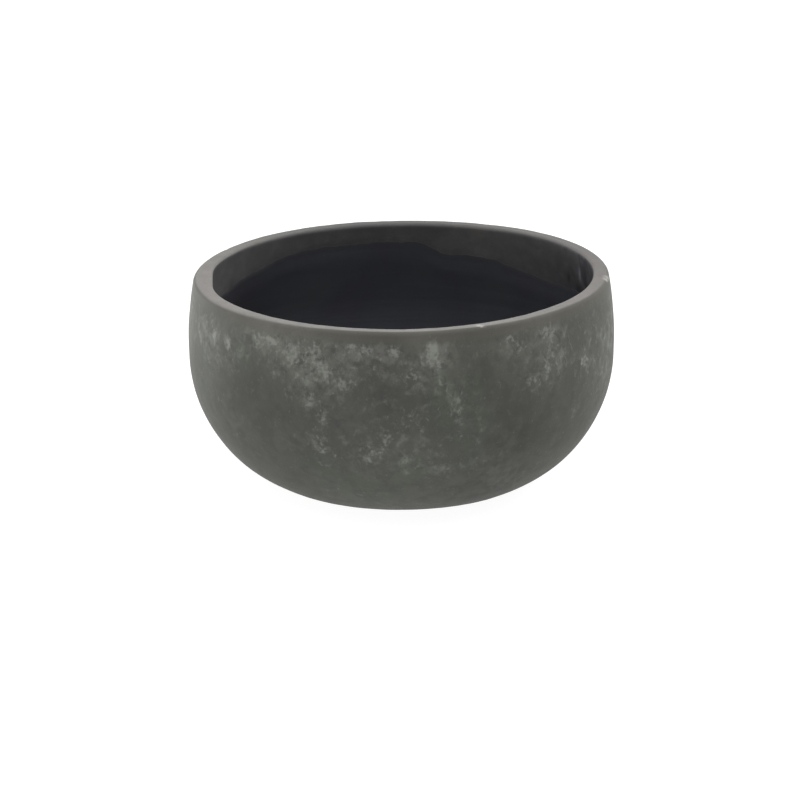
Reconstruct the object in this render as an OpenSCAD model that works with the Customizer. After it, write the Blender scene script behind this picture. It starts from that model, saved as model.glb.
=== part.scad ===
// Bowl planter of cast cement: a thick round shell, drawn in a little at the
// rim and a lot at the foot. Its hollow is brushed with a black waterproof
// coating that stops short of the rim in an uneven line, and it stands on
// four felt pads. Millimetres. The origin is on the ground, on the bowl's
// axis, and +Z is up.

/* [Bowl] */
// Widest outside diameter, at the belly
bowl_d = 310; // [240:5:420]
// Height of the cast shell, from its underside to the top of the rim
bowl_h = 148; // [125:1:200]
// Height of the belly above the shell's underside
belly_h = 91; // [75:1:105]
// How far the rim is drawn in from the belly, on each side
rim_in = 4; // [2:0.5:20]
// How far the foot is drawn in from the belly, on each side
foot_in = 58.5; // [30:0.5:70]

/* [Wall] */
// Thickness of the cast wall
wall_t = 12; // [8:0.5:18]
// Thickness of the cast floor
floor_t = 14; // [10:0.5:24]
// Radius of the rim's outer edge
rim_outer_r = 3.5; // [1:0.5:4]
// Radius of the rim's inner edge
rim_inner_r = 2.5; // [1:0.5:3.5]
// Radius where the wall meets the floor inside
floor_fillet_r = 25; // [8:1:40]
// Radius where the wall turns under to the flat foot
foot_edge_r = 8; // [2:1:20]

/* [Coating] */
// Thickness of the waterproof coating
coat_t = 1.2; // [0.6:0.1:3]
// Mean distance from the rim down to the coating's brushed edge
edge_drop = 24; // [18:1:60]

/* [Felt pads] */
// Diameter of each pad under the foot
pad_d = 22; // [10:1:34]
// Thickness of each pad
pad_t = 2; // [1:0.5:5]
// Distance from the edge of the flat foot to the pads
pad_inset = 6; // [2:1:15]
// Width of the bevel round each pad's lower edge
pad_bevel = 0.3; // [0.1:0.1:0.5]

/* [Hidden] */

$fn = 96;
cement = [0.33, 0.33, 0.31];
sealer = [0.13, 0.13, 0.14];
felt = [0.10, 0.10, 0.11];

// Steps along one curve of the outline
wall_steps = 16;
edge_steps = 6;

// The brushed edge is a sum of slow waves round the bowl. Each is the number
// of waves in a turn, the swing in millimetres and the turn of its low point.
edge_waves = [[1, 2.6, -40], [2, 6.2, 34], [3, 3.0, 150], [4, 1.2, -112], [5, 1.1, 147]];
// Flat cuts that follow the brushed edge round the bowl
edge_cuts = 96;
// How far the cutting shape runs past the shell
cut_over = 10;

pads_around = 4;
first_pad_at = 45;

// The outside is two arcs that meet upright at the belly. An arc that leaves
// the belly upright and has drawn in by "draw" at "rise" has this radius.
function draw_in_r(draw, rise) = (draw * draw + rise * rise) / (2 * draw);

bowl_r = bowl_d / 2;
upper_r = draw_in_r(rim_in, bowl_h - belly_h);
lower_r = draw_in_r(foot_in, belly_h);
upper_x = bowl_r - upper_r;
lower_x = bowl_r - lower_r;

// A small rounding runs between a wall arc and a level face. "reach" is the
// distance between the two centres and "rise" their difference in height.
function rounding_x(arc_x, reach, rise) = arc_x + sqrt(reach * reach - rise * rise);
function rounding_turn(reach, rise) = asin(rise / reach);

// Centre and turn of each of the four roundings
rim_out_reach = upper_r - rim_outer_r;
rim_out_rise = bowl_h - rim_outer_r - belly_h;
rim_out_x = rounding_x(upper_x, rim_out_reach, rim_out_rise);
rim_out_turn = rounding_turn(rim_out_reach, rim_out_rise);

rim_in_reach = upper_r - wall_t + rim_inner_r;
rim_in_rise = bowl_h - rim_inner_r - belly_h;
rim_in_x = rounding_x(upper_x, rim_in_reach, rim_in_rise);
rim_in_turn = rounding_turn(rim_in_reach, rim_in_rise);

foot_reach = lower_r - foot_edge_r;
foot_rise = foot_edge_r - belly_h;
foot_flat_r = rounding_x(lower_x, foot_reach, foot_rise);
foot_turn = rounding_turn(foot_reach, foot_rise);

floor_reach = lower_r - wall_t - floor_fillet_r;
floor_rise = floor_t + floor_fillet_r - belly_h;
floor_flat_r = rounding_x(lower_x, floor_reach, floor_rise);
floor_turn = rounding_turn(floor_reach, floor_rise);

// Points along an arc in the plane of the outline
function arc(x, z, r, from, to, steps) =
    [for (i = [0 : steps])
        let (a = from + (to - from) * i / steps)
        [x + r * cos(a), z + r * sin(a)]];

// The same list without its first point, for an arc that carries on another
function tail(points) = [for (i = [1 : len(points) - 1]) points[i]];

// Outside of the shell, from the axis under the foot to the top of the rim
function outside() = concat(
    [[0, 0]],
    arc(foot_flat_r, foot_edge_r, foot_edge_r, -90, foot_turn, edge_steps),
    tail(arc(lower_x, belly_h, lower_r, foot_turn, 0, wall_steps)),
    tail(arc(upper_x, belly_h, upper_r, 0, rim_out_turn, wall_steps)),
    tail(arc(rim_out_x, bowl_h - rim_outer_r, rim_outer_r, rim_out_turn, 90, edge_steps)));

// Wall of the hollow, from the axis on the floor up to the rim's inner edge,
// drawn "skin" inside the cement
function hollow(skin) = concat(
    [[0, floor_t + skin]],
    arc(floor_flat_r, floor_t + floor_fillet_r, floor_fillet_r - skin, -90, floor_turn, edge_steps),
    tail(arc(lower_x, belly_h, lower_r - wall_t - skin, floor_turn, 0, wall_steps)),
    tail(arc(upper_x, belly_h, upper_r - wall_t - skin, 0, rim_in_turn, wall_steps)));

// Rounded inner edge of the rim, from its flat top into the hollow
function rim_lip() =
    arc(rim_in_x, bowl_h - rim_inner_r, rim_inner_r, 90, 180 + rim_in_turn, edge_steps);

function backwards(points) = [for (i = [len(points) - 1 : -1 : 0]) points[i]];

// Height of the brushed edge above the shell's underside, at one turn
function edge_z(turn, i = 0) = i < len(edge_waves)
    ? edge_z(turn, i + 1) - edge_waves[i][1] * cos(edge_waves[i][0] * turn - edge_waves[i][2])
    : bowl_h - edge_drop;

module bowl_shell() {
    color(cement)
    translate([0, 0, pad_t])
    rotate_extrude()
    polygon(concat(outside(), rim_lip(), tail(backwards(hollow(0)))));
}

// Everything above the brushed edge: a fan of flat cuts from the axis, whose
// swing is right where it crosses the coating
module above_brushed_edge() {
    reach = bowl_r + cut_over;
    spread = reach / (bowl_r - wall_t);
    mean_z = bowl_h - edge_drop;
    top_z = bowl_h + cut_over;
    turns = [for (i = [0 : edge_cuts - 1]) i * 360 / edge_cuts];
    low = [for (a = turns)
        [reach * cos(a), reach * sin(a), mean_z + spread * (edge_z(a) - mean_z)]];
    high = [for (a = turns) [reach * cos(a), reach * sin(a), top_z]];
    hub = 2 * edge_cuts;
    polyhedron(
        points = concat(low, high, [[0, 0, mean_z]]),
        faces = concat(
            [for (i = [0 : edge_cuts - 1]) [hub, i, (i + 1) % edge_cuts]],
            [for (i = [0 : edge_cuts - 1])
                let (j = (i + 1) % edge_cuts)
                [i, edge_cuts + i, edge_cuts + j, j]],
            [[for (i = [edge_cuts - 1 : -1 : 0]) edge_cuts + i]]));
}

module waterproof_coating() {
    color(sealer)
    translate([0, 0, pad_t])
    difference() {
        rotate_extrude()
        polygon(concat(hollow(0), backwards(hollow(coat_t))));
        above_brushed_edge();
    }
}

module foot_pad(place) {
    ring_r = foot_flat_r - pad_inset - pad_d / 2;
    color(felt)
    rotate([0, 0, first_pad_at + (place - 1) * 360 / pads_around])
    translate([ring_r, 0, 0])
    rotate_extrude()
    polygon([[0, 0], [pad_d / 2 - pad_bevel, 0], [pad_d / 2, pad_bevel],
             [pad_d / 2, pad_t], [0, pad_t]]);
}

bowl_shell();
waterproof_coating();
foot_pad(1);  // foot_pad_1
foot_pad(2);  // foot_pad_2
foot_pad(3);  // foot_pad_3
foot_pad(4);  // foot_pad_4
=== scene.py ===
"""The looks of a cast cement bowl planter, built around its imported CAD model.

Metres, in the CAD model's frame: the origin is on the ground on the bowl's axis, +Z is up, and
the photograph was taken from the -Y side. Angles are in degrees, and a turn is counted
anticlockwise from +X as seen from above. Arrays over a turned surface are (row, column): rows
follow its outline, and columns go round the bowl.
"""
import math
import random

import bpy
import numpy as np
from mathutils import Euler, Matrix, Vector, noise


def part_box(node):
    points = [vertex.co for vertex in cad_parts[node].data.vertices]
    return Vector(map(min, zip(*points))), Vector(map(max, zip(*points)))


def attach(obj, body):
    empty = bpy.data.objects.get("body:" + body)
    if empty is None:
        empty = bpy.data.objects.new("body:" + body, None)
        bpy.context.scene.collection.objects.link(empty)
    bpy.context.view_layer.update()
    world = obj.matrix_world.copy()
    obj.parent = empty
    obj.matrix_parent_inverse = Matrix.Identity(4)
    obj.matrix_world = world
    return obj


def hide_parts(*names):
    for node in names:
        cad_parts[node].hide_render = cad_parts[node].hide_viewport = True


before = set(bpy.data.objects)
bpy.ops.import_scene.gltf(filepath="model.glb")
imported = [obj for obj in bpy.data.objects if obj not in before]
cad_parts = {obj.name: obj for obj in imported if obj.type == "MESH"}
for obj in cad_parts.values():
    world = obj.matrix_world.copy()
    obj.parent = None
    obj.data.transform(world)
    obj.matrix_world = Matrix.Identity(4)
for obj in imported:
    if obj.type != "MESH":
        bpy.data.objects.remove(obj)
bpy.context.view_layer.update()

MM = 0.001

# ---------------------------------------------------------------- sizes of the bowl

SHELL_LOW, SHELL_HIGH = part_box("bowl_shell")
COAT_LOW, COAT_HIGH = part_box("waterproof_coating")
FOOT_Z = SHELL_LOW.z
RIM_Z = SHELL_HIGH.z
BOWL_R = SHELL_HIGH.x
WALL_T = SHELL_HIGH.x - COAT_HIGH.x
FLOOR_Z = COAT_LOW.z

BELLY_Z = FOOT_Z + 91 * MM  # height of the widest line
RIM_IN = 4 * MM  # how far the rim is drawn in from the belly
FOOT_IN = 58.5 * MM  # how far the foot is drawn in from the belly
RIM_OUTER_R = 3.5 * MM
RIM_INNER_R = 2.5 * MM
FLOOR_FILLET_R = 25 * MM
FOOT_EDGE_R = 8 * MM

# The coating's brushed edge: mean drop below the rim, and slow waves round the bowl, each as
# waves in a turn, swing in metres and turn of its low point
EDGE_DROP = 24 * MM
EDGE_WAVES = [(1, 2.6 * MM, -40), (2, 6.2 * MM, 34), (3, 3.0 * MM, 150),
              (4, 1.2 * MM, -112), (5, 1.1 * MM, 147)]
# and where the brush left it lower or higher: turn, reach in degrees, and millimetres lower
EDGE_DIPS = [(154, 9, 3.2), (136, 10, 4.4), (115, 8, 3.6), (102, 7, 2.2), (86, 3.5, -2.4),
             (76, 4.5, 3.8), (60, 3, -1.8)]

# The hand-finished rim isn't quite level: turn, and rise in millimetres
RIM_RISE = [(0, 2.1), (20, 2.2), (35, 2.1), (50, 1.6), (65, 0.9), (90, 0.25), (110, 0.1),
            (125, 0.1), (150, -0.3), (180, -0.5), (215, -0.3), (230, -0.4), (250, -0.1),
            (268, -0.4), (285, -0.1), (300, 0.7), (318, 1.6), (340, 1.9), (360, 2.1)]
# Where its inner edge stands further in: turn, reach in degrees, and millimetres
RIM_LUMPS = [(183, 11, 2.8)]
LUMPS_START, LUMPS_FULL = 9 * MM, 2 * MM  # how far below the rim they start and are full
# How the outside differs from its two arcs, in millimetres: height above the foot, reach up and
# down, and how far it stands proud there
FULLER = [(16, 13, 0.4), (111, 15, 0.5), (150, 10, -0.6)]

# Roughness of a surface or an edge: height and size of its features in metres, seed and octaves
SWELL = (0.35 * MM, 95 * MM, 1, 2)
WALL_RELIEF = (0.07 * MM, 11 * MM, 2, 4)
RIM_RELIEF = (0.12 * MM, 9 * MM, 5, 3)
BRUSH_RELIEF = (0.10 * MM, 60 * MM, 6, 4)
EDGE_JITTERS = [(1.3 * MM, 24 * MM, 3, 3), (0.6 * MM, 6 * MM, 4, 2)]

# ---------------------------------------------------------------- layout of a turned mesh

COLUMNS = 480  # points round the bowl
HUB_R = 4 * MM  # rows stop here, and a fan closes the mesh on the axis
ROUNDED_OVER = 20  # columns over which the corners of listed levels are smoothed
STRIPS = 4  # the wall is laid out for its texture in this many strips
LAYOUT_GAP = 2 * MM
DISC_W = 104 * MM  # width of the two ends in the layout
LOW_DISC_AT, HIGH_DISC_AT = 0.5, 1.6  # and their middles, in widths


# ---------------------------------------------------------------- outline of the bowl

def draw_in_r(draw, rise):
    """Radius of an arc that leaves the belly upright and has drawn in by draw at rise."""
    return (draw * draw + rise * rise) / (2 * draw)


UPPER_R = draw_in_r(RIM_IN, RIM_Z - BELLY_Z)
LOWER_R = draw_in_r(FOOT_IN, BELLY_Z - FOOT_Z)
UPPER_X = BOWL_R - UPPER_R
LOWER_X = BOWL_R - LOWER_R


def rounding(arc_x, reach, z):
    """Centre radius and turn of a small rounding that blends a wall arc into a level face."""
    rise = z - BELLY_Z
    return arc_x + math.sqrt(reach * reach - rise * rise), math.degrees(math.asin(rise / reach))


RIM_OUT_X, RIM_OUT_TURN = rounding(UPPER_X, UPPER_R - RIM_OUTER_R, RIM_Z - RIM_OUTER_R)
RIM_IN_X, RIM_IN_TURN = rounding(UPPER_X, UPPER_R - WALL_T + RIM_INNER_R, RIM_Z - RIM_INNER_R)
FOOT_FLAT_R, FOOT_TURN = rounding(LOWER_X, LOWER_R - FOOT_EDGE_R, FOOT_Z + FOOT_EDGE_R)
FLOOR_FLAT_R, FLOOR_TURN = rounding(
    LOWER_X, LOWER_R - WALL_T - FLOOR_FILLET_R, FLOOR_Z + FLOOR_FILLET_R)


def arc(x, z, r, start, end, count, side=1):
    """Rows of (r, z, normal r, normal z) along an arc; side is -1 where the solid is outside it."""
    a = np.radians(np.linspace(start, end, count + 1))
    out = np.stack([np.cos(a), np.sin(a)], 1)
    return np.hstack([[x, z] + r * out, side * out])


def level(start_r, end_r, z, up, count):
    """Rows along a level face, whose normal points up by up."""
    r = np.linspace(start_r, end_r, count + 1)
    return np.stack([r, np.full_like(r, z), np.zeros_like(r), np.full_like(r, up)], 1)


def join(*stretches):
    """One outline from stretches that each start where the last one ends, and the number of the
    stretch that each row belongs to."""
    rows = [stretches[0]] + [s[1:] for s in stretches[1:]]
    numbers = np.concatenate([np.full(len(s), i) for i, s in enumerate(rows)])
    return np.vstack(rows), numbers


def hollow(counts):
    """The wall and floor of the hollow, from the rim's inner edge down to the hub, as four
    stretches with so many faces down each."""
    upper, lower, fillet, floor = counts
    return [arc(UPPER_X, BELLY_Z, UPPER_R - WALL_T, RIM_IN_TURN, 0, upper, -1),
            arc(LOWER_X, BELLY_Z, LOWER_R - WALL_T, 0, FLOOR_TURN, lower, -1),
            arc(FLOOR_FLAT_R, FLOOR_Z + FLOOR_FILLET_R, FLOOR_FILLET_R,
                FLOOR_TURN, -90, fillet, -1),
            level(FLOOR_FLAT_R, HUB_R, FLOOR_Z, 1, floor)]


def path_of(rows):
    """Distance along an outline at each of its rows."""
    steps = np.hypot(*np.diff(rows[:, :2], axis=0).T)
    return np.concatenate([[0], np.cumsum(steps)])


# ---------------------------------------------------------------- shape helpers

TURNS = np.arange(COLUMNS) * 2 * math.pi / COLUMNS
RING = np.stack([np.cos(TURNS), np.sin(TURNS), np.zeros(COLUMNS)], 1)
UP = np.array([0.0, 0.0, 1.0])
NOISE_SHIFT = Vector((7.13, 3.71, 5.37))  # from one seed's noise to the next
OCTAVE_FADE, OCTAVE_STEP = 1.0, 2.0  # how fast noise's octaves weaken, and how much finer each is


def spun(r, z):
    """Points, or normals, at radius r and height z, each an array (row, column) or (row, 1)."""
    return r[..., None] * RING[None] + z[..., None] * UP


def smooth(low, high, values):
    """0 at low and before, 1 at high and beyond, and smooth between."""
    t = np.clip((values - low) / (high - low), 0, 1)
    return t * t * (3 - 2 * t)


def noise_at(points, size, seed, octaves):
    """Smooth noise of about -1 to 1 at each point, with features of size."""
    shift = NOISE_SHIFT * seed
    found = [noise.fractal(Vector(p) / size + shift, OCTAVE_FADE, OCTAVE_STEP, octaves)
             for p in points.reshape(-1, 3)]
    return np.array(found).reshape(points.shape[:-1])


def relief(points, form):
    """How far a roughness of this form stands proud at each point."""
    height, size, seed, octaves = form
    return height * noise_at(points, size, seed, octaves)


def degrees_from(turn):
    """How far each column lies from a turn, from -180 to 180."""
    return (np.degrees(TURNS) - turn + 180) % 360 - 180


def around(levels):
    """Levels given as (turn, level) from 0 to 360, at each column, with their corners smoothed."""
    turns, values = zip(*levels)
    exact = np.interp(np.degrees(TURNS), turns, values)
    even = np.full(ROUNDED_OVER, 1 / ROUNDED_OVER)
    return np.convolve(np.tile(exact, 3), even, "same")[COLUMNS:2 * COLUMNS]


def bumps(places):
    """Sum at each column of soft bumps, each as turn, reach in degrees, and millimetres."""
    found = np.zeros(COLUMNS)
    for turn, reach, height in places:
        found += height * MM * np.exp(-(degrees_from(turn) / reach) ** 2)
    return found


def risen(points):
    """points with the rim's rise, which fades out down to the belly."""
    share = smooth(BELLY_Z, RIM_Z, points[..., 2])
    return points + (around(RIM_RISE) * MM * share)[..., None] * UP


def pulled_in(points):
    """points with the lumps of the rim's inner edge."""
    radii = np.hypot(points[..., 0], points[..., 1])
    share = smooth(RIM_OUT_X, RIM_IN_X, radii)
    share *= smooth(RIM_Z - LUMPS_START, RIM_Z - LUMPS_FULL, points[..., 2])
    return points - (bumps(RIM_LUMPS) * share)[..., None] * RING


def fullness(heights, normals_r):
    """How far the outside stands proud of its two arcs, at heights whose normals point out by
    normals_r."""
    found = np.zeros(heights.shape)
    for height, reach, proud in FULLER:
        away = (heights - FOOT_Z - height * MM) / (reach * MM)
        found += normals_r.clip(0, 1) * proud * MM * np.exp(-away ** 2)
    return found


def edge_drop():
    """How far the coating's brushed edge lies below the rim, at each column."""
    drop = EDGE_DROP + bumps(EDGE_DIPS)
    for count, swing, low in EDGE_WAVES:
        drop += swing * np.cos(count * TURNS - math.radians(low))
    for jitter in EDGE_JITTERS:
        drop += relief(RING * BOWL_R, jitter)
    return drop


# ---------------------------------------------------------------- turned meshes

def linked(name, data):
    """A new object in the scene."""
    made = bpy.data.objects.new(name, data)
    bpy.context.scene.collection.objects.link(made)
    return made


def face_corners(row_count):
    """Corners of all the faces of a turned mesh: quads between neighbouring rows, then a fan onto
    each pole. Gives each corner's row and column, its face's first row and column, and the
    number of corners of each face. The poles' rows are row_count and row_count + 1."""
    i, j = (a.ravel() for a in np.meshgrid(
        np.arange(row_count - 1), np.arange(COLUMNS), indexing="ij"))
    k = np.arange(COLUMNS)
    first, last = np.zeros_like(k), np.full(COLUMNS, row_count - 1)
    low_pole, high_pole = np.full(COLUMNS, row_count), np.full(COLUMNS, row_count + 1)
    rows = [np.stack([i, i, i + 1, i + 1], 1), np.stack([low_pole, first, first], 1),
            np.stack([high_pole, last, last], 1)]
    cols = [np.stack([j, j + 1, j + 1, j], 1), np.stack([k, k + 1, k], 1),
            np.stack([k, k, k + 1], 1)]
    first_rows = [np.repeat(i, 4), np.full(3 * COLUMNS, -1), np.repeat(last, 3)]
    first_cols = [np.repeat(j, 4), np.repeat(k, 3), np.repeat(k, 3)]
    counts = np.repeat([4, 3], [len(i), 2 * COLUMNS])
    return (np.concatenate([a.ravel() for a in rows]), np.concatenate([a.ravel() for a in cols]),
            np.concatenate(first_rows), np.concatenate(first_cols), counts)


def add_attribute(mesh, key, values):
    """Stores values (row, column) on a turned mesh's points, with each end's mean on its pole."""
    layer = mesh.attributes.new(key, "FLOAT", "POINT")
    poles = [values[0].mean(), values[-1].mean()]
    layer.data.foreach_set("value", np.append(values.ravel(), poles).astype(np.float32))


def turned_mesh(name, points, places_of, attributes):
    """A closed mesh from points (row, column, 3), with a pole on the axis at both ends.
    places_of lays out its texture, and attributes are arrays (row, column)."""
    row_count = len(points)
    rows, cols, first_rows, first_cols, counts = face_corners(row_count)
    index = np.where(rows < row_count, rows * COLUMNS + cols % COLUMNS,
                     row_count * COLUMNS + rows - row_count)
    poles = [points[0].mean(0), points[-1].mean(0)]
    mesh = bpy.data.meshes.new(name)
    mesh.vertices.add(row_count * COLUMNS + 2)
    mesh.vertices.foreach_set("co", np.vstack([points.reshape(-1, 3), poles]).ravel())
    mesh.loops.add(len(index))
    mesh.loops.foreach_set("vertex_index", index.astype(np.int32))
    mesh.polygons.add(len(counts))
    starts = np.concatenate([[0], np.cumsum(counts)[:-1]])
    mesh.polygons.foreach_set("loop_start", starts.astype(np.int32))
    mesh.update(calc_edges=True)
    mesh.shade_smooth()
    places = places_of(rows, cols, first_rows, first_cols)
    mesh.uv_layers.new(name="OFBake").uv.foreach_set("vector", places.astype(np.float32).ravel())
    for key, values in attributes.items():
        add_attribute(mesh, key, values)
    mesh.validate()
    return linked(name, mesh)


def sheet_layout(path, radii, start, end):
    """Lays a turned mesh out on one sheet: the faces from row start to row end, which show, in
    four strips of the wall at full size, and the two ends as smaller discs below them."""
    gap, disc = LAYOUT_GAP, DISC_W
    strip_w = 2 * math.pi * BOWL_R / STRIPS
    strip_h = path[end] - path[start]
    width, height = 2 * (strip_w + gap), 2 * (strip_h + gap) + disc + gap
    low_r = np.append(radii, [0, 0]) / radii[start]
    high_r = np.append((path[-1] - path) / (path[-1] - path[end]), [0, 0])

    def places(rows, cols, first_rows, first_cols):
        strip = first_cols * STRIPS // COLUMNS
        along = cols * STRIPS / COLUMNS - strip
        held = rows.clip(0, len(path) - 1)
        x = along * strip_w + (strip % 2) * (strip_w + gap)
        y = path[held] - path[start] + (strip // 2) * (strip_h + gap) + disc + gap
        turn = cols * 2 * math.pi / COLUMNS
        discs = ((first_rows < start, low_r, LOW_DISC_AT),
                 (first_rows >= end, high_r, HIGH_DISC_AT))
        for on_disc, share, middle in discs:
            r = share[rows] * disc / 2
            x = np.where(on_disc, middle * disc + r * np.cos(turn), x)
            y = np.where(on_disc, disc / 2 + r * np.sin(turn), y)
        return np.stack([(x + gap / 2) / (width + gap), (y + gap / 2) / (height + gap)], 1)

    return places


# ---------------------------------------------------------------- marks on the cement

# Where pale bloom shows on the wall: turn, height above the foot, half width and half height in
# millimetres, and strength
BLOOM = [(-156, 126, 22, 12, 0.8), (-149, 122, 16, 14, 0.9), (-138, 126, 12, 14, 0.6),
         (-129, 136, 20, 12, 1.0), (-120, 132, 18, 14, 1.0), (-118, 118, 20, 16, 0.9),
         (-108, 130, 16, 13, 0.9), (-109, 112, 14, 14, 0.8), (-113, 96, 14, 16, 0.7),
         (-112, 72, 10, 18, 0.6), (-97, 134, 24, 11, 0.9), (-92, 118, 18, 10, 0.5),
         (-93, 100, 24, 16, 0.3), (-98, 78, 20, 18, 0.38), (-81, 134, 14, 14, 1.0),
         (-82, 112, 12, 16, 0.6), (-74, 92, 16, 22, 0.6), (-88, 80, 14, 16, 0.36),
         (-97, 56, 24, 12, 0.5), (-112, 50, 8, 6, 0.4), (-62, 135, 16, 9, 0.8),
         (-47, 131, 15, 10, 1.0), (-44, 116, 12, 16, 0.8), (-52, 108, 16, 12, 0.7),
         (-32, 112, 14, 14, 0.6), (-28, 92, 18, 18, 0.5), (-38, 72, 16, 10, 0.35),
         (-78, 46, 18, 10, 0.5), (-104, 20, 22, 7, 0.4), (-30, 130, 14, 9, 0.45),
         (-150, 110, 14, 12, 0.4), (-140, 110, 12, 10, 0.4), (-88, 62, 16, 14, 0.4),
         (-84, 50, 14, 12, 0.4), (-56, 122, 12, 12, 0.5), (-22, 116, 10, 16, 0.5),
         (-20, 84, 10, 14, 0.5)]
# Small brighter spots, in the same way
SPOTS = [(-126, 135, 6, 3, 1.0), (-149, 126, 3, 5, 1.0), (-142, 125, 3, 5, 0.8),
         (-103, 137, 4, 3, 0.8), (-99, 136, 3, 3, 0.7), (-92, 135, 4, 3, 0.9),
         (-110, 119, 5, 5, 0.8), (-105, 111, 7, 4, 0.7), (-114, 98, 5, 5, 0.5),
         (-111, 85, 4, 5, 0.6), (-112, 61, 4, 4, 0.7), (-82, 135, 4, 8, 1.0), (-81, 126, 4, 5, 0.6),
         (-87, 118, 6, 4, 0.5), (-61, 137, 4, 3, 0.6), (-58, 131, 4, 4, 0.6), (-49, 136, 6, 6, 0.7),
         (-47, 122, 3, 6, 0.6), (-49, 113, 3, 6, 0.7), (-54, 106, 7, 3, 0.5), (-34, 107, 5, 4, 0.8),
         (-94, 72, 5, 6, 0.5), (-97, 62, 7, 4, 0.5), (-121, 131, 10, 5, 0.6),
         (-117, 126, 8, 8, 0.5), (-131, 133, 6, 6, 0.5), (-113, 134, 5, 8, 0.5),
         (-112, 126, 6, 5, 0.5), (-87, 88, 10, 5, 0.4), (-76, 92, 6, 8, 0.4)]
# Tints, and smoothly paler and darker areas of the wall, in the same way
GREENER = [(-71, 82, 12, 26, 1.0), (-80, 98, 9, 16, 0.7), (-112, 40, 16, 12, 0.9),
           (-102, 26, 24, 12, 1.0), (-87, 41, 12, 12, 0.8), (-156, 86, 12, 24, 0.7),
           (-136, 120, 10, 12, 0.6)]
VIOLET = [(-105, 82, 12, 14, 1.0), (-95, 112, 18, 18, 0.9), (-98, 134, 18, 8, 0.8),
          (-141, 94, 10, 24, 0.9), (-62, 61, 16, 16, 0.6), (-42, 134, 30, 9, 0.9)]
PALER = [(-124, 136, 30, 13, 1.0), (-121, 132, 16, 14, 0.8), (-110, 127, 20, 18, 0.6),
         (-146, 132, 12, 10, 0.2), (-80, 132, 14, 12, 0.6), (-60, 132, 18, 14, 0.6),
         (-50, 124, 12, 14, 0.3), (-120, 140, 10, 5, 0.6), (-140, 145, 10, 5, 0.25),
         (-126, 144, 16, 5, 0.7), (-86, 143, 8, 5, 0.4), (-50, 144, 16, 5, 0.5)]
# Of these darker patches, those low on the right, between turns -72 and -46 and no more than about
# 46 mm above the foot, are painted shade where the glowing floor lights the wall
DARKER_AND_SHADE = [(-60, 62, 22, 28, 1.0), (-94, 108, 14, 14, 0.8), (-70, 124, 8, 12, 0.3),
          (-62, 30, 36, 20, 0.9), (-62, 22, 30, 16, 0.8), (-46, 46, 24, 24, 0.5),
          (-138, 80, 24, 40, 0.35), (-38, 102, 12, 14, 0.4), (-97, 92, 16, 12, 0.4),
          (-60, 42, 16, 16, 0.7), (-112, 46, 12, 9, 0.5), (-103, 58, 8, 8, 0.4),
          (-160, 112, 14, 34, 0.4), (-146, 110, 16, 12, 0.3), (-58, 120, 12, 12, 0.3),
          (-72, 22, 14, 12, 0.5), (-100, 60, 10, 8, 0.4), (-167, 139, 14, 11, 0.7),
          (-150, 144, 14, 5, 0.6)]
# On the inner wall: dark marks, partly of the coating and partly painted shade (the shaded side
# of a small blister near turn 21), and a pale bluish painted highlight on that blister between them
SMUDGES_AND_SHADE = [(27.6, 124, 2, 4, 0.7), (21.5, 119, 7, 4, 0.8), (14.5, 133, 3, 6, 0.5),
           (9, 138, 5, 5, 0.5), (154, 120, 6, 7, 0.35)]
PAINTED_GLINTS = [(19.8, 131, 2, 4, 1.0)]

# Levels round the bowl, each as (turn, level): how darkly the bare band inside is darkened, by
# coating smeared over it and, most of all on the right near turn 0, by painted shade as well,
SMEARED_AND_SHADED = [(0, 1.0), (14, 1.0), (22, 0.7), (30, 0.58), (41, 0.4), (60, 0.0), (80, 0.1),
           (100, 0.2), (130, 0.2), (150, 0.3), (165, 0.5), (190, 0.5), (230, 0.5), (300, 0.7),
           (360, 1.0)]
# how far the top of the rim is rubbed down to paler cement,
RUBBED = [(0, 0.55), (30, 0.4), (48, 0.45), (65, 0.3), (80, 0.15), (100, 0.1), (130, 0.35),
          (160, 0.85), (200, 1.0), (310, 1.0), (335, 0.8), (360, 0.55)]
# how far out over the rim's edge the rubbed cement reaches,
RUBBED_OUT = [(0, 1.0), (195, 1.0), (206, 1.5), (226, 1.3), (242, 0.8), (262, 0.1),
              (278, 0.1), (290, 0.4), (305, 0.8), (330, 1.0), (360, 1.0)]
# and how pink the rubbed cement is
BLUSHED = [(0, 1.0), (25, 0.6), (50, 0.1), (160, 0.1), (185, 0.7), (205, 0.7), (225, 0.2),
           (310, 0.1), (335, 0.7), (360, 1.0)]
# How level a face has to be for the rub to start and to be full, where it is lightest, and how
# much steeper a face it reaches where it is strongest
RUB_STARTS, RUB_FULL, RUB_STEEPER = 0.8, 0.95, 0.65
RUB_REACH = 2 * MM  # how far out over the edge a level of 1 in RUBBED_OUT reaches
RUB_FADE = 0.9 * MM  # half the width over which the rub fades there

# Nicks in the rim's outer edge: turn, depth and half width in millimetres, angle up its rounding
# (0 on the side, 90 at the top, and more on the level face), and how pale, where more than 1 is
# brighter still. The one at -68.4, with almost no depth, is a painted glint on the front rim, and
# the pale of the two at -7.2 and -9.6 is partly painted catch-light on their facets
NICKS_AND_GLINT = [(-7.2, 0.4, 2.6, 46, 1.0), (-9.6, 0.5, 2.8, 66, 1.0), (-68.4, 0.05, 2.6, 125, 1.4),
         (62.0, 0.3, 2.2, 62, 0.5), (64.0, 0.2, 1.3, 85, 0.4), (151.0, 0.3, 1.7, 75, 0.4)]
NICK_RAGGED = (0.4, 3 * MM, 8, 2)  # their outline's roughness, as a share of their half width
NICK_SHOWS, NICK_FULL = 0.15, 0.5  # shares of their depth where paler cement starts and is full

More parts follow.
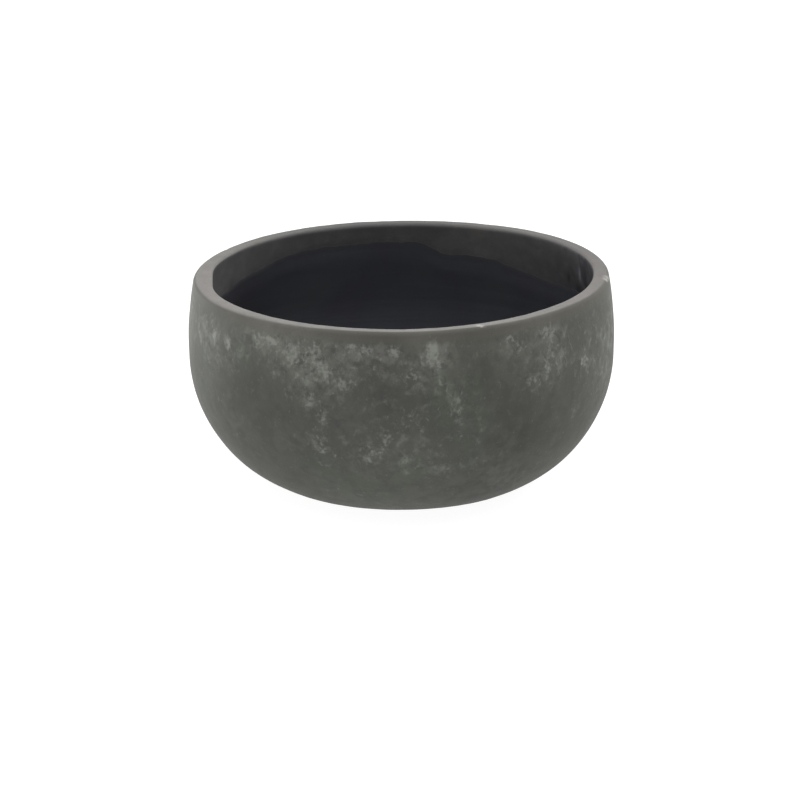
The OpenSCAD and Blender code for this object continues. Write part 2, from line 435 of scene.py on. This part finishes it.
# Random patches for the side that the photograph doesn't show, in groups: seed, how many, lowest
# and highest middle and usual half width in millimetres, and greatest strength
UNSEEN_BLOOM = [(11, 24, 104, 137, 16, 0.9), (12, 22, 25, 104, 20, 0.4)]
UNSEEN_GREENER = [(13, 9, 25, 120, 22, 0.8)]
UNSEEN_VIOLET = [(14, 9, 40, 130, 18, 0.8)]
UNSEEN_DARKER = [(15, 9, 40, 110, 20, 0.8)]
UNSEEN_PALER = [(16, 9, 110, 138, 18, 0.8)]
UNSEEN_TURNS = (-14, 194)
PATCH_FALL = 0.8  # how fast any patch fades: at its half width, exp(-PATCH_FALL) of it is left


def unseen(groups):
    """Random patches for the side that the photograph doesn't show."""
    found = []
    for seed, count, lowest, highest, size, strength in groups:
        draw = random.Random(seed)
        found += [(draw.uniform(*UNSEEN_TURNS), draw.uniform(lowest, highest),
                   draw.uniform(0.7, 1.4) * size, draw.uniform(0.6, 1.2) * size,
                   draw.uniform(0.5, 1.0) * strength) for _ in range(count)]
    return found


def patches_on(heights, patches):
    """Strength at each height and column of soft patches that overlap."""
    found = np.zeros(heights.shape)
    for turn, height, half_w, half_h, strength in patches:
        across = np.radians(degrees_from(turn)) * BOWL_R / (half_w * MM)
        up = (heights - FOOT_Z - height * MM) / (half_h * MM)
        patch = strength * np.exp(-PATCH_FALL * (across[None] ** 2 + up ** 2))
        found = found + patch - found * patch
    return found


def nicks_and_glint(points):
    """How deep the nicks go at each point, and how much they show the paler cement within, with
    painted glint and catch-light in places.
    """
    depth, pale = np.zeros(points.shape[:2]), np.zeros(points.shape[:2])
    ragged = 1 + relief(points, NICK_RAGGED)
    for turn, deep, half, tilt, paleness in NICKS_AND_GLINT:
        a, b = math.radians(turn), math.radians(tilt)
        r = RIM_OUT_X + RIM_OUTER_R * math.cos(b)
        z = RIM_Z - RIM_OUTER_R * (1 - math.sin(b))
        away = np.linalg.norm(points - [r * math.cos(a), r * math.sin(a), z], axis=-1)
        shape = np.exp(-(away * ragged / (half * MM)) ** 2)
        depth += deep * MM * shape
        pale = np.maximum(pale, paleness * smooth(NICK_SHOWS, NICK_FULL, shape))
    return depth, pale


def rubbed_rim(rows, in_rim):
    """How much of the rubbed cement shows at each row of the outline and column."""
    radii, normals_z = rows[:, :1], rows[:, 3:4]
    steeper = RUB_STEEPER * around(RUBBED)[None]
    share = smooth(RUB_STARTS - steeper, RUB_FULL - steeper, normals_z) * in_rim
    outer_r = RIM_OUT_X + RUB_REACH * around(RUBBED_OUT)[None] - RUB_FADE
    return share * smooth(outer_r + RUB_FADE, outer_r - RUB_FADE, radii)


# ---------------------------------------------------------------- the cast shell

# The stretches of the shell's outline, in the order in which shell_outline joins them. BAND is
# the hollow's first stretch, whose upper part stays bare, and the coating covers those after it.
UNDER, FOOT_EDGE, LOWER, UPPER, RIM_OUTER, RIM_TOP, RIM_INNER, BAND = range(8)
OUTSIDE_COUNTS = (10, 3, 74, 38, 7, 6, 6)  # faces down the stretches before BAND
HOLLOW_COUNTS = (36, 8, 3, 3)  # and down the hollow's, with few where they are covered
RELIEF_FADE = 12 * MM  # inside, the wall's relief fades in over this height above the belly


def shell_outline():
    """Rows of the shell, from under the foot round the rim to the floor inside."""
    under, foot_edge, lower, upper, rim_outer, rim_top, rim_inner = OUTSIDE_COUNTS
    return join(
        level(HUB_R, FOOT_FLAT_R, FOOT_Z, -1, under),
        arc(FOOT_FLAT_R, FOOT_Z + FOOT_EDGE_R, FOOT_EDGE_R, -90, FOOT_TURN, foot_edge),
        arc(LOWER_X, BELLY_Z, LOWER_R, FOOT_TURN, 0, lower),
        arc(UPPER_X, BELLY_Z, UPPER_R, 0, RIM_OUT_TURN, upper),
        arc(RIM_OUT_X, RIM_Z - RIM_OUTER_R, RIM_OUTER_R, RIM_OUT_TURN, 90, rim_outer),
        level(RIM_OUT_X, RIM_IN_X, RIM_Z, 1, rim_top),
        arc(RIM_IN_X, RIM_Z - RIM_INNER_R, RIM_INNER_R, 90, 180 + RIM_IN_TURN, rim_inner),
        *hollow(HOLLOW_COUNTS))


def shell_marks(heights, inside, under):
    """The patches and stains of the cement, with its painted shade and highlights, by the names
    that its material reads.
    """
    return {
        "bloom": patches_on(heights, BLOOM + unseen(UNSEEN_BLOOM)) * ~inside * ~under,
        "spot": patches_on(heights, SPOTS) * ~inside,
        "green": patches_on(heights, GREENER + unseen(UNSEEN_GREENER)),
        "violet": patches_on(heights, VIOLET + unseen(UNSEEN_VIOLET)),
        "dark_and_shade": patches_on(heights, DARKER_AND_SHADE + unseen(UNSEEN_DARKER)),
        "pale": patches_on(heights, PALER + unseen(UNSEEN_PALER)),
        "smudge_and_shade": patches_on(heights, SMUDGES_AND_SHADE),
        "painted_glint": patches_on(heights, PAINTED_GLINTS),
        "drop": RIM_Z - heights,
        "above_coat": heights - (RIM_Z - edge_drop()),
        "rubbed": np.broadcast_to(around(RUBBED), heights.shape),
        "blush": np.broadcast_to(around(BLUSHED), heights.shape),
        "smear_and_shade": np.broadcast_to(around(SMEARED_AND_SHADED), heights.shape),
    }


def cast_bowl():
    """The cement shell: two smooth arcs, worked by hand, with a softened rim."""
    rows, stretch = shell_outline()
    points, normals = spun(rows[:, :1], rows[:, 1:2]), spun(rows[:, 2:3], rows[:, 3:4])
    heights = points[..., 2]
    inside, under = (stretch >= BAND)[:, None], (stretch == UNDER)[:, None]
    rim = rubbed_rim(rows, ((stretch >= RIM_OUTER) & (stretch <= RIM_INNER))[:, None])
    worked = np.where(inside, smooth(BELLY_Z, BELLY_Z + RELIEF_FADE, heights), ~under)
    proud = relief(points, SWELL) * ~under
    proud += worked * relief(points, WALL_RELIEF)
    proud += rim * relief(points, RIM_RELIEF)
    proud += ~inside * fullness(heights, rows[:, 2:3])
    depth, pale = nicks_and_glint(points)
    surface = risen(pulled_in(points + (proud - depth)[..., None] * normals))
    inner_side = inside | (stretch == RIM_INNER)[:, None]
    attributes = shell_marks(heights, inside, under)
    attributes["rim"], attributes["nick_and_glint"] = rim, pale
    attributes["inside"] = np.broadcast_to(inner_side, heights.shape) * 1.0
    attributes["under"] = np.broadcast_to(under, heights.shape) * 1.0
    start = int(np.argmax(stretch == FOOT_EDGE)) - 1
    end = int(np.argmax(stretch > BAND)) - 1
    layout = sheet_layout(path_of(rows), rows[:, 0], start, end)
    return turned_mesh("cast_bowl", surface, layout, attributes)


# ---------------------------------------------------------------- the brushed coating

COAT_EDGE_T = 0.06 * MM  # thickness at the brushed edge
COAT_BODY_T = 1.2 * MM
COAT_TAPER = 14 * MM  # how far below the edge it is full
COAT_SUNK = 0.3 * MM  # how far its hidden side lies inside the cement
SWELL_FADE = 10 * MM  # the wall's swell fades in over this height above the floor
BRUSH_SQUASH = [1, 1, 9]  # how much shorter its relief is up the wall than round it

FINE_COUNTS = (120, 160, 60, 60)  # steps down the hollow's stretches, to place the rows by
EDGE_WITHIN = 200  # the brushed edge is looked for in the first so many of them
# How far below the brushed edge the first rows are, in millimetres
COAT_EDGE_ROWS = (0, 0.12, 0.3, 0.6, 1.0, 1.5, 2.2, 3.0, 4.0, 5.2, 6.6, 8.2, 10, 12, 14, 16)
COAT_ROWS = 96  # rows from those to the hub
COAT_HIDDEN_ROWS = 14  # rows of the hidden side, from the hub to the brushed edge
COAT_DISC_ROWS = 40  # faces down to the hub that are laid out as a disc
# Painted shade: how much blacker the coating is made at the top, as (turn, level), most of all on
# the left, where the right softbox would light it
COAT_PAINTED_SHADE = [(0, 0.3), (25, 0.3), (40, 0.0), (120, 0.0), (145, 1.0), (175, 1.0), (200, 0.3),
               (340, 0.0), (360, 0.3)]
SHADE_ENDS, SHADE_FULL = 70 * MM, 15 * MM  # how far below the edge that ends and is full


def coat_rows(edge_at, end_at):
    """Where each row and column lies along the hollow: up its hidden side to the edge, and back
    down its brushed side."""
    share = np.linspace(1, 0, COAT_HIDDEN_ROWS)[:, None]
    hidden = edge_at * (1 - share) + end_at * share
    near_edge = edge_at + np.array(COAT_EDGE_ROWS)[:, None] * MM
    share = np.linspace(0, 1, COAT_ROWS + 1)[1:, None]
    return np.vstack([hidden, near_edge, near_edge[-1:] * (1 - share) + end_at * share])


def brushed_coating():
    """The waterproof coating: thin at its wandering edge, with the marks of the brush."""
    wall, _ = join(*hollow(FINE_COUNTS))
    path = path_of(wall)
    falling = np.maximum.accumulate(-wall[:EDGE_WITHIN, 1])
    edge_at = np.interp(-(RIM_Z - edge_drop()), falling, path[:EDGE_WITHIN])[None]
    at = coat_rows(edge_at, path[-1])
    r, z, normal_r, normal_z = (np.interp(at, path, wall[:, k]) for k in range(4))
    points, normals = spun(r, z), spun(normal_r, normal_z)
    below_edge = at - edge_at
    body = smooth(0, COAT_TAPER, below_edge)
    thick = COAT_EDGE_T + (COAT_BODY_T - COAT_EDGE_T) * body
    thick += body * relief(points * BRUSH_SQUASH, BRUSH_RELIEF)
    is_hidden = np.arange(len(at))[:, None] < COAT_HIDDEN_ROWS
    proud = relief(points, SWELL) * smooth(FLOOR_Z, FLOOR_Z + SWELL_FADE, z)
    proud += np.where(is_hidden, -COAT_SUNK, thick)
    surface = risen(points + proud[..., None] * normals)
    # deep is painted shade on the coating near its top
    attributes = {"below_edge": below_edge, "hoop": z + r,
                  "deep": around(COAT_PAINTED_SHADE) * smooth(SHADE_ENDS, SHADE_FULL, below_edge)}
    along = path_of(np.stack([r.mean(1), z.mean(1)], 1))
    end = len(at) - 1 - COAT_DISC_ROWS
    layout = sheet_layout(along, r.mean(1), COAT_HIDDEN_ROWS, end)
    return turned_mesh("brushed_coating", surface, layout, attributes)


# ---------------------------------------------------------------- felt pads

PAD_NAMES = ["foot_pad_1", "foot_pad_2", "foot_pad_3", "foot_pad_4"]
PAD_COLUMNS = 96
PAD_EDGE_R = 0.5 * MM  # rounding of the lower edge
PAD_TOP_IN, PAD_TOP_DOWN = 0.1 * MM, 0.2 * MM  # softening of the upper edge
PAD_HUB_R = 0.6 * MM  # a flat face closes the disc within this radius
PAD_RINGS, PAD_EDGE_RINGS = 9, 4  # across each face, and round the lower edge
# Raggedness of the felt's side: how far it stands out, size of its features and octaves
FUZZ, FUZZ_SIZE, FUZZ_OCTAVES = 0.16 * MM, 0.9 * MM, 3


def pad_outline(r, height):
    """Rows of a pressed disc, from the middle of its underside round to the middle of its top."""
    underside = level(PAD_HUB_R, r - PAD_EDGE_R, 0, -1, PAD_RINGS)
    edge = arc(r - PAD_EDGE_R, PAD_EDGE_R, PAD_EDGE_R, -90, 0, PAD_EDGE_RINGS)[1:]
    side = [[r, height / 2, 1, 0], [r, height - PAD_TOP_DOWN, 1, 0]]
    top = level(r - PAD_TOP_IN, PAD_HUB_R, height, 1, PAD_RINGS)[1:]
    return np.vstack([underside, edge, side, top])


def felt_pad(node, seed):
    """A pressed felt disc with a soft, slightly ragged edge."""
    low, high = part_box(node)
    middle = (low + high) / 2
    height = high.z - low.z
    rows = pad_outline((high.x - low.x) / 2, height)
    verts, faces = [], []
    for row_r, row_z, normal_r, normal_z in rows:
        for turn in np.arange(PAD_COLUMNS) * 2 * math.pi / PAD_COLUMNS:
            out = Vector((math.cos(turn), math.sin(turn), 0))
            at = out * row_r + Vector((0, 0, row_z))
            place = at / FUZZ_SIZE + Vector((seed, 0, 0))
            ragged = FUZZ * noise.fractal(place, OCTAVE_FADE, OCTAVE_STEP, FUZZ_OCTAVES)
            at += (out * normal_r) * ragged
            verts.append(middle + at - Vector((0, 0, height / 2)))
    for i in range(len(rows) - 1):
        a, b = i * PAD_COLUMNS, (i + 1) * PAD_COLUMNS
        for j in range(PAD_COLUMNS):
            k = (j + 1) % PAD_COLUMNS
            faces.append((a + j, a + k, b + k, b + j))
    faces.append(tuple(range(PAD_COLUMNS - 1, -1, -1)))
    faces.append(tuple((len(rows) - 1) * PAD_COLUMNS + j for j in range(PAD_COLUMNS)))
    mesh = bpy.data.meshes.new(node + "_felt")
    mesh.from_pydata(verts, [], faces)
    mesh.shade_smooth()
    return linked(node + "_felt", mesh)


# ---------------------------------------------------------------- materials

class Nodes:
    """Builds one material. Each call that makes a pattern returns the socket that gives it."""

    SEED_SHIFT = (3.7, 5.1, 2.3)  # from one seed's noise to the next

    def __init__(self, name):
        self.material = bpy.data.materials.new(name)
        self.material.use_nodes = True
        self.tree = self.material.node_tree
        self.tree.nodes.clear()
        self.place = self.add("ShaderNodeTexCoord").outputs["Object"]

    def add(self, kind, **settings):
        """A new node of a kind, with its settings."""
        node = self.tree.nodes.new(kind)
        for key, value in settings.items():
            setattr(node, key, value)
        return node

    def feed(self, socket, value):
        """Links another node's output to a socket, or sets the socket to a plain value."""
        if isinstance(value, bpy.types.NodeSocket):
            self.tree.links.new(value, socket)
        else:
            socket.default_value = value

    def attribute(self, name):
        """What the mesh stores under name."""
        return self.add("ShaderNodeAttribute", attribute_name=name).outputs["Fac"]

    def scaled(self, size, seed, stretch=(1, 1, 1)):
        """The surface's place in units of size, stretched along X, Y and Z."""
        node = self.add("ShaderNodeMapping")
        self.feed(node.inputs["Vector"], self.place)
        self.feed(node.inputs["Scale"], [1 / (size * s) for s in stretch])
        self.feed(node.inputs["Location"], [seed * s for s in self.SEED_SHIFT])
        return node.outputs["Vector"]

    def pattern(self, vector, detail=3.0, rough=0.5, twist=0.0):
        """Noise of about 0 to 1 over a vector, with features of about 1."""
        node = self.add("ShaderNodeTexNoise")
        for key, value in (("Vector", vector), ("Scale", 1.0), ("Detail", detail),
                           ("Roughness", rough), ("Distortion", twist)):
            self.feed(node.inputs[key], value)
        return node.outputs["Fac"]

    def noise(self, size, seed, detail=3.0, rough=0.5, twist=0.0, stretch=(1, 1, 1)):
        """Noise of about 0 to 1 over the surface, with features of size."""
        return self.pattern(self.scaled(size, seed, stretch), detail, rough, twist)

    def cells(self, size, seed):
        """Distance to the nearest of many scattered points, in units of size."""
        node = self.add("ShaderNodeTexVoronoi")
        self.feed(node.inputs["Vector"], self.scaled(size, seed))
        self.feed(node.inputs["Scale"], 1.0)
        return node.outputs["Distance"]

    def math(self, operation, a, b):
        """a and b put together by an operation such as ADD."""
        node = self.add("ShaderNodeMath", operation=operation)
        self.feed(node.inputs[0], a)
        self.feed(node.inputs[1], b)
        return node.outputs[0]

    def times(self, a, b):
        """a multiplied by b."""
        return self.math("MULTIPLY", a, b)

    def step(self, value, low, high, start=0.0, end=1.0):
        """start at low and before, end at high and beyond, and smooth between."""
        node = self.add("ShaderNodeMapRange", interpolation_type="SMOOTHSTEP")
        for key, number in (("Value", value), ("From Min", low), ("From Max", high),
                            ("To Min", start), ("To Max", end)):
            self.feed(node.inputs[key], number)
        return node.outputs["Result"]

    def mix(self, share, a, b, blend="MIX"):
        """a where share is 0 and b where it is 1."""
        node = self.add("ShaderNodeMix", data_type="RGBA", blend_type=blend)
        self.feed(node.inputs["Factor"], share)
        self.feed(node.inputs["A"], a)
        self.feed(node.inputs["B"], b)
        return node.outputs["Result"]

    def over(self, colour, share, tone):
        """colour with share of a tone laid over it."""
        return self.mix(share, colour, tone)

    def tinted(self, colour, share, tint):
        """colour with share of it seen through a tint."""
        return self.mix(share, colour, tint, "MULTIPLY")

    def bump(self, height, depth, under=None):
        """A normal from height, where 1 stands depth proud of 0."""
        node = self.add("ShaderNodeBump")
        self.feed(node.inputs["Height"], height)
        self.feed(node.inputs["Distance"], depth)
        if under is not None:
            self.feed(node.inputs["Normal"], under)
        return node.outputs["Normal"]

    def surface(self, **inputs):
        """Ends the material in one Principled surface."""
        shader = self.add("ShaderNodeBsdfPrincipled")
        for key, value in inputs.items():
            self.feed(shader.inputs[key.replace("_", " ")], value)
        output = self.add("ShaderNodeOutputMaterial")
        self.feed(output.inputs["Surface"], shader.outputs["BSDF"])
        return self.material


def grey(red, green, blue):
    """A colour from its 0 to 255 screen values, with no transparency."""
    def linear(value):
        share = value / 255
        return share / 12.92 if share <= 0.04045 else ((share + 0.055) / 1.055) ** 2.4
    return (linear(red), linear(green), linear(blue), 1.0)


TALLER = (1, 1, 1.2)  # the bloom's patterns are a little taller than wide


def wall_tone(n, uneven):
    """Dark olive cement in slow drifts, with paler and darker areas, some of them painted shade,
    faint clouds and a haze.
    """
    drift = n.step(n.noise(60 * MM, 1, 3, 0.55), 0.35, 0.65)
    wall = n.mix(drift, grey(73, 74, 67), grey(79, 80, 73))
    # Darker areas, those low on the right painted shade
    wall = n.over(wall, n.times(n.attribute("dark_and_shade"), n.times(uneven, 0.9)), grey(54, 56, 50))
    wall = n.over(wall, n.times(n.attribute("pale"), n.times(uneven, 0.75)), grey(114, 114, 106))
    clouds = n.noise(12 * MM, 4, 3, 0.6, 0.3, (1, 1, 1.3))
    wall = n.over(wall, n.step(clouds, 0.42, 0.68, 0, 0.5), grey(62, 63, 58))
    haze = n.times(n.noise(6 * MM, 17, 3, 0.5, 0.2), n.noise(40 * MM, 18, 2))
    return n.over(wall, n.step(haze, 0.24, 0.42, 0, 0.3), grey(94, 96, 90))


def with_bloom(n, wall, drop):
    """The wall with soft pale mottling and sharper flecks, dense in the bloom's patches and rare
    elsewhere, and none close under the rim. Gives the flecks as well."""
    rare = n.step(drop, 55 * MM, 20 * MM, 0.03, 0.3)
    shown = n.math("MAXIMUM", n.attribute("bloom"), rare)
    shown = n.times(shown, n.step(drop, 3 * MM, 9 * MM))
    wall = n.over(wall, n.times(shown, 0.25), grey(106, 108, 101))

    mottle = n.noise(6.8 * MM, 5, 3, 0.6, 0.3, TALLER)
    bar = n.math("SUBTRACT", 0.62, n.times(shown, 0.3))
    wash = n.step(mottle, bar, n.math("ADD", bar, 0.3))
    wall = n.over(wall, n.times(wash, 0.66), grey(112, 114, 107))
    gaps = n.step(n.noise(7 * MM, 19, 4, 0.55, 0.4), 0.5, 0.64, 0, 0.6)
    wall = n.over(wall, n.times(shown, gaps), grey(62, 62, 58))

    bar = n.math("SUBTRACT", 0.7, n.times(shown, 0.2))
    fleck = n.step(n.noise(4.6 * MM, 14, 3, 0.45, 0.35, TALLER), bar, n.math("ADD", bar, 0.2))
    fleck = n.times(fleck, n.step(mottle, 0.4, 0.58, 0.2, 1))
    fleck = n.times(fleck, n.step(shown, 0.08, 0.35))
    wall = n.over(wall, n.times(fleck, 0.52), grey(142, 144, 137))
    spots = n.math("ADD", n.times(n.attribute("spot"), 0.55), n.noise(2.6 * MM, 21, 3))
    return n.over(wall, n.step(spots, 0.62, 1.02, 0, 0.6), grey(148, 150, 143)), fleck


def with_strip(n, wall, drop):
    """The wall with the smooth strip under the rim, which is a little warmer and paler."""
    strip = n.over(grey(86, 84, 77), n.attribute("pale"), grey(103, 101, 94))
    strip = n.over(strip, n.attribute("dark_and_shade"), grey(66, 65, 59))
    return n.over(wall, n.times(n.step(drop, 10 * MM, 5 * MM), 0.65), strip)


def stained_and_shaded_band(n):
    """The bare band inside, stained by the coating, most of all close above it, with painted shade
    on the right and the painted shade and highlight of a small blister.
    """
    drift = n.step(n.noise(26 * MM, 8, 4, 0.6), 0.35, 0.7)
    band = n.mix(drift, grey(93, 92, 93), grey(106, 104, 102))
    uneven = n.step(n.noise(13 * MM, 15, 4, 0.6, 0.3), 0.35, 0.6, 0.7, 1.05)
    # Coating smeared over the band, with painted shade where it is darkest, on the right
    band = n.over(band, n.times(n.attribute("smear_and_shade"), uneven), grey(42, 41, 48))
    ragged = n.times(n.noise(7 * MM, 9, 5, 0.7, 0.0, (1, 1, 0.45)), 16 * MM)
    stain = n.step(n.math("ADD", n.attribute("above_coat"), ragged), 15 * MM, 6 * MM)
    band = n.over(band, n.times(stain, 0.3), grey(54, 53, 60))
    # Dark marks, partly of the coating and partly the painted shade of a small blister, then the
    # blister's painted highlight
    band = n.over(band, n.times(n.attribute("smudge_and_shade"), 0.8), grey(20, 20, 22))
    return n.over(band, n.times(n.attribute("painted_glint"), 0.9), grey(128, 128, 138))


def bare_cement(n):
    """The bare cement under the foot."""
    drift = n.step(n.noise(24 * MM, 10, 5, 0.65, 0.3), 0.3, 0.7)
    patches = n.step(n.noise(6 * MM, 22, 4, 0.6, 0.3), 0.5, 0.75, 0, 0.4)
    return n.over(n.mix(drift, grey(98, 97, 91), grey(118, 116, 110)), patches, grey(132, 131, 125))


def rubbed_cement(n):
    """The rim's top, rubbed down to paler cement that is pinker in places."""
    rubbed = n.mix(n.noise(16 * MM, 6, 4, 0.6), grey(115, 114, 110), grey(141, 139, 134))
    # Dark specks, painted as the shade in small pits
    pit_shade = n.step(n.noise(3 * MM, 7, 5, 0.7), 0.55, 0.7, 0, 0.5)
    rubbed = n.over(rubbed, pit_shade, grey(99, 98, 95))
    rubbed = n.mix(n.attribute("rubbed"), grey(84, 84, 83), rubbed)
    blush = n.times(n.attribute("blush"), n.step(n.noise(10 * MM, 20, 3), 0.35, 0.6))
    return n.tinted(rubbed, blush, grey(255, 246, 249))


def with_nicks_and_glint(n, colour):
    """colour with the paler cement inside the nicks, and a brighter painted glint where their level
    is over 1.
    """
    nick_and_glint = n.attribute("nick_and_glint")
    fresh_and_glint = n.mix(n.noise(1.5 * MM, 16, 4, 0.6), grey(120, 118, 113), grey(172, 169, 163))
    # Painted glint, where the level is over 1
    fresh_and_glint = n.over(fresh_and_glint, n.step(nick_and_glint, 1.0, 1.4), grey(170, 167, 162))
    return n.over(colour, nick_and_glint, fresh_and_glint)


def cement_material():
    """Dark olive-grey cement with pale bloom, a rubbed tan-grey rim and a stained inner band, with
    painted shade in places and a painted glint on the rim.
    """
    n = Nodes("cast_cement")
    uneven = n.step(n.noise(14 * MM, 2, 4, 0.6), 0.35, 0.65, 0.25, 1)
    drop = n.attribute("drop")
    wall, fleck = with_bloom(n, wall_tone(n, uneven), drop)
    wall = n.tinted(wall, n.times(n.attribute("green"), uneven), grey(242, 255, 243))
    wall = n.tinted(wall, n.times(n.attribute("violet"), uneven), grey(251, 243, 255))
    wall = with_strip(n, wall, drop)
    colour = n.mix(n.attribute("inside"), wall, stained_and_shaded_band(n))
    colour = n.mix(n.attribute("under"), colour, bare_cement(n))
    colour = n.mix(n.attribute("rim"), colour, rubbed_cement(n))
    colour = with_nicks_and_glint(n, colour)

    # Fine grain and small open pores, whose darker colour is painted shade in the pits
    grain = n.noise(0.8 * MM, 11, 4, 0.65)
    colour = n.tinted(colour, 1.0, n.mix(grain, grey(222, 222, 222), grey(255, 255, 255)))
    pore = n.step(n.cells(7 * MM, 12), 0.035, 0.07, 1, 0)
    colour = n.over(colour, n.times(pore, 0.4), grey(46, 46, 44))
    sand = n.bump(grain, 0.08 * MM)
    skin = n.bump(n.math("SUBTRACT", fleck, n.times(pore, 3)), 0.08 * MM, sand)
    rough = n.step(fleck, 0, 1, 0.74, 0.88)
    return n.surface(Base_Color=colour, Roughness=rough, Normal=skin, Specular_IOR_Level=0.4)


ALONG_STROKES, ACROSS_STROKES = 18, 420  # features of the brush strokes in a metre


def brush_strokes(n):
    """Noise in long thin strokes that run round the bowl. The distance up its wall and out over
    its floor, hoop, tells one stroke from the next."""
    parts = n.add("ShaderNodeSeparateXYZ")
    n.feed(parts.inputs[0], n.place)
    place = n.add("ShaderNodeCombineXYZ")
    n.feed(place.inputs["X"], n.times(parts.outputs["X"], ALONG_STROKES))
    n.feed(place.inputs["Y"], n.times(parts.outputs["Y"], ALONG_STROKES))
    n.feed(place.inputs["Z"], n.times(n.attribute("hoop"), ACROSS_STROKES))
    return n.pattern(place.outputs[0], 4.0)


def coating_material():
    """Near-black brushed coating with a low satin sheen, thinner and paler at its edge, and
    darkened with painted shade near its top.
    """
    n = Nodes("black_sealer")
    below, strokes = n.attribute("below_edge"), brush_strokes(n)
    drift = n.step(n.noise(45 * MM, 1, 3), 0.35, 0.65)
    colour = n.mix(drift, grey(60, 60, 68), grey(62, 65, 69))
    seen = n.step(below, 60 * MM, 110 * MM, 0.3, 0.9)
    colour = n.over(colour, n.times(n.step(strokes, 0.45, 0.7), seen), grey(68, 69, 73))
    # Painted shade on the coating near its top, most of all on the left
    colour = n.over(colour, n.times(n.attribute("deep"), 0.85), grey(44, 44, 49))
    colour = n.over(colour, n.times(n.step(below, 4 * MM, 0.0), 0.7), grey(74, 73, 77))
    rough = n.step(strokes, 0.3, 0.7, 0.55, 0.68)
    marks = n.bump(strokes, 0.06 * MM)
    return n.surface(Base_Color=colour, Roughness=rough, Normal=marks, Specular_IOR_Level=0.15)


def felt_material():
    """Pressed charcoal felt: short tangled fibres."""
    n = Nodes("felt")
    fibres = n.noise(0.5 * MM, 1, 5, 0.75, 1.5)
    colour = n.mix(fibres, grey(38, 38, 41), grey(84, 84, 88))
    colour = n.over(colour, n.step(n.noise(4 * MM, 2, 3), 0.4, 0.7, 0, 0.4), grey(54, 54, 58))
    return n.surface(Base_Color=colour, Roughness=0.95, Normal=n.bump(fibres, 0.25 * MM),
                     Sheen_Weight=0.3)


# ---------------------------------------------------------------- studio

CAMERA_PLACE = (0.0, -2.21895, 0.77368)
CAMERA_TURN = (72.0066, 0.4040, -0.0944)
CAMERA_LENS, CAMERA_SENSOR = 142.717, 36.0  # in the lens's own millimetres
CAMERA_REACH = 50.0
FLOOR_R = 7.0
FLOOR_SIDES = 96
FLOOR_GLOW = 0.93
# The light from all round has these strengths straight in front of the bowl and behind it, and
# passes from one to the other between these values of its direction's Y
FRONT_LIGHT, BACK_LIGHT = 0.3, 1.0
FRONT_Y, BACK_Y = -1.0, 0.6
# Area lights that face the bowl: name, place, width, height and power in watts
SOFTBOXES = [("left_softbox", (-1.3, 0.8, 0.17), 1.2, 0.28, 13),
             ("right_softbox", (1.3, 0.85, 0.7), 1.0, 0.8, 10),
             ("top_softbox", (0.0, -0.2, 1.8), 1.4, 1.4, 20)]
LIGHTS_AIM = (0, 0, 0.08)


def add_camera():
    """A long lens a little above the rim, as the photograph was taken."""
    data = bpy.data.cameras.new("camera")
    data.lens = CAMERA_LENS
    data.sensor_width = CAMERA_SENSOR
    data.clip_end = CAMERA_REACH
    camera = linked("camera", data)
    camera.location = CAMERA_PLACE
    camera.rotation_euler = Euler([math.radians(a) for a in CAMERA_TURN])
    bpy.context.scene.camera = camera


def add_floor():
    """A pale floor that glows a little, so that shadows on it stay faint."""
    mesh = bpy.data.meshes.new("floor")
    ring = [(FLOOR_R * math.cos(a), FLOOR_R * math.sin(a), 0)
            for a in np.linspace(0, 2 * math.pi, FLOOR_SIDES, endpoint=False)]
    mesh.from_pydata(ring, [], [tuple(range(len(ring)))])
    n = Nodes("pale_floor")
    mesh.materials.append(n.surface(
        Base_Color=(0.25, 0.25, 0.25, 1), Roughness=0.9, Specular_IOR_Level=0.0,
        Emission_Color=(1, 1, 1, 1), Emission_Strength=FLOOR_GLOW))
    floor = linked("floor", mesh)


def add_softbox(name, place, width, height, power):
    """An oblong area light at place that faces the bowl."""
    data = bpy.data.lights.new(name, "AREA")
    data.shape = "RECTANGLE"
    data.size, data.size_y = width, height
    data.energy = power
    light = linked(name, data)
    light.location = place
    aim = Vector(LIGHTS_AIM) - Vector(place)
    light.rotation_euler = aim.to_track_quat("-Z", "Y").to_euler()


def add_studio():
    """Soft white light from all round, weaker from the front, and three softboxes."""
    world = bpy.data.worlds.new("studio")
    world.use_nodes = True
    tree = world.node_tree
    background = tree.nodes["Background"]
    place = tree.nodes.new("ShaderNodeTexCoord")
    parts = tree.nodes.new("ShaderNodeSeparateXYZ")
    strength = tree.nodes.new("ShaderNodeMapRange")
    tree.links.new(place.outputs["Generated"], parts.inputs[0])
    tree.links.new(parts.outputs["Y"], strength.inputs["Value"])
    for key, value in (("From Min", FRONT_Y), ("From Max", BACK_Y),
                       ("To Min", FRONT_LIGHT), ("To Max", BACK_LIGHT)):
        strength.inputs[key].default_value = value
    tree.links.new(strength.outputs["Result"], background.inputs["Strength"])
    background.inputs["Color"].default_value = (1, 1, 1, 1)
    bpy.context.scene.world = world
    for softbox in SOFTBOXES:
        add_softbox(*softbox)
    bpy.context.scene.view_settings.view_transform = "Standard"


# ---------------------------------------------------------------- putting it together

def dress(piece, material, slot, *nodes):
    """piece stands for the CAD nodes, wears the material and rides on the bowl."""
    piece.data.materials.append(material)
    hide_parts(*nodes)
    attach(piece, "root")


add_camera()
dress(cast_bowl(), cement_material(), "cast_cement", "bowl_shell")
dress(brushed_coating(), coating_material(), "black_sealer", "waterproof_coating")
felt = felt_material()
for number, pad in enumerate(PAD_NAMES):
    dress(felt_pad(pad, number), felt, "felt", pad)
add_floor()
add_studio()
